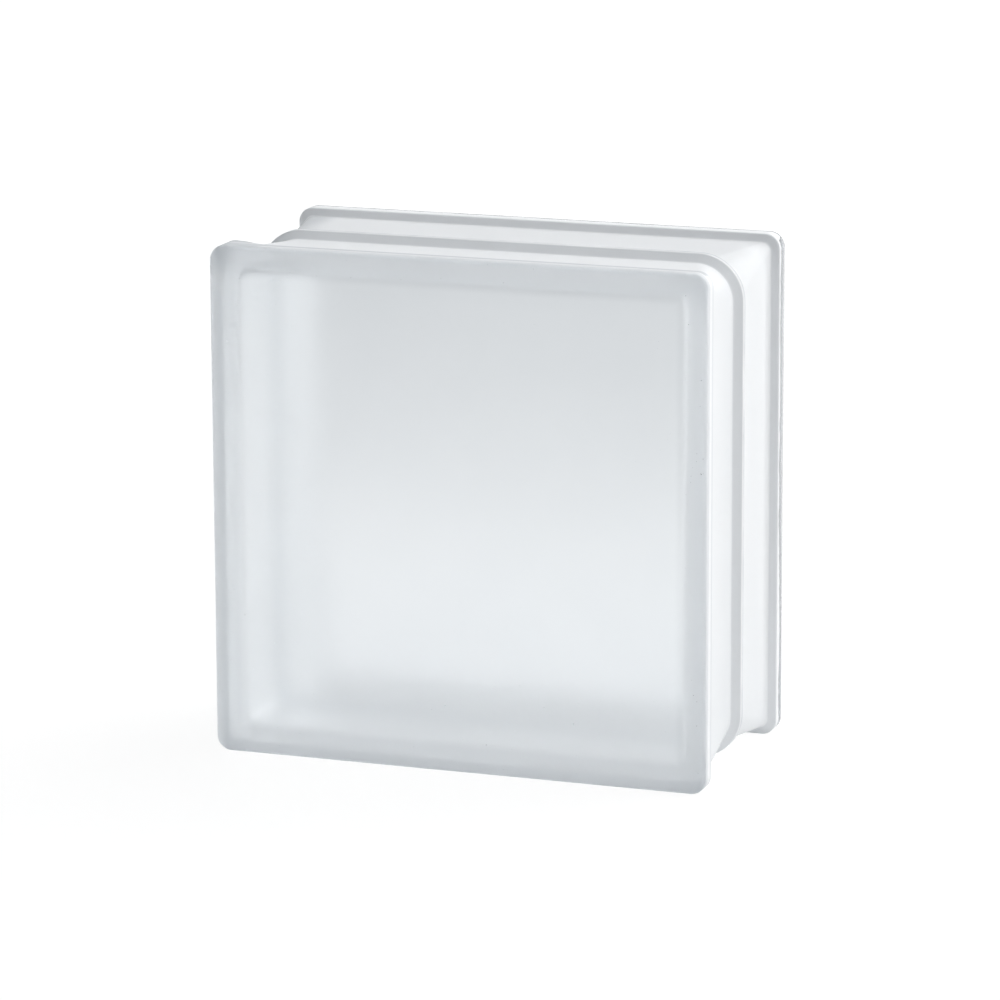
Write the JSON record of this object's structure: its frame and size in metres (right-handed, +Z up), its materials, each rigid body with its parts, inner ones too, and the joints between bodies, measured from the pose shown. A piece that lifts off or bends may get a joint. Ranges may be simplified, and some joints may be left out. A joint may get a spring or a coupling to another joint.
{
  "type": "glass block",
  "caption": "Square hollow glass building block with an etched satin front, flanged faces, recessed mortar channels and a fused seam round its edge, for laying in walls.",
  "frame": {"origin": "middle of the block's footprint, on the surface it stands on", "axes": "+Z up, front etched face towards -Y, +X to the right seen from the front"},
  "size_m": [0.19, 0.095, 0.19],
  "materials": {
    "glass": "etched satin front, coated white in the channels"
  },
  "bodies": {
    "root": {"glass_block": "glass"}
  },
  "joints": []
}
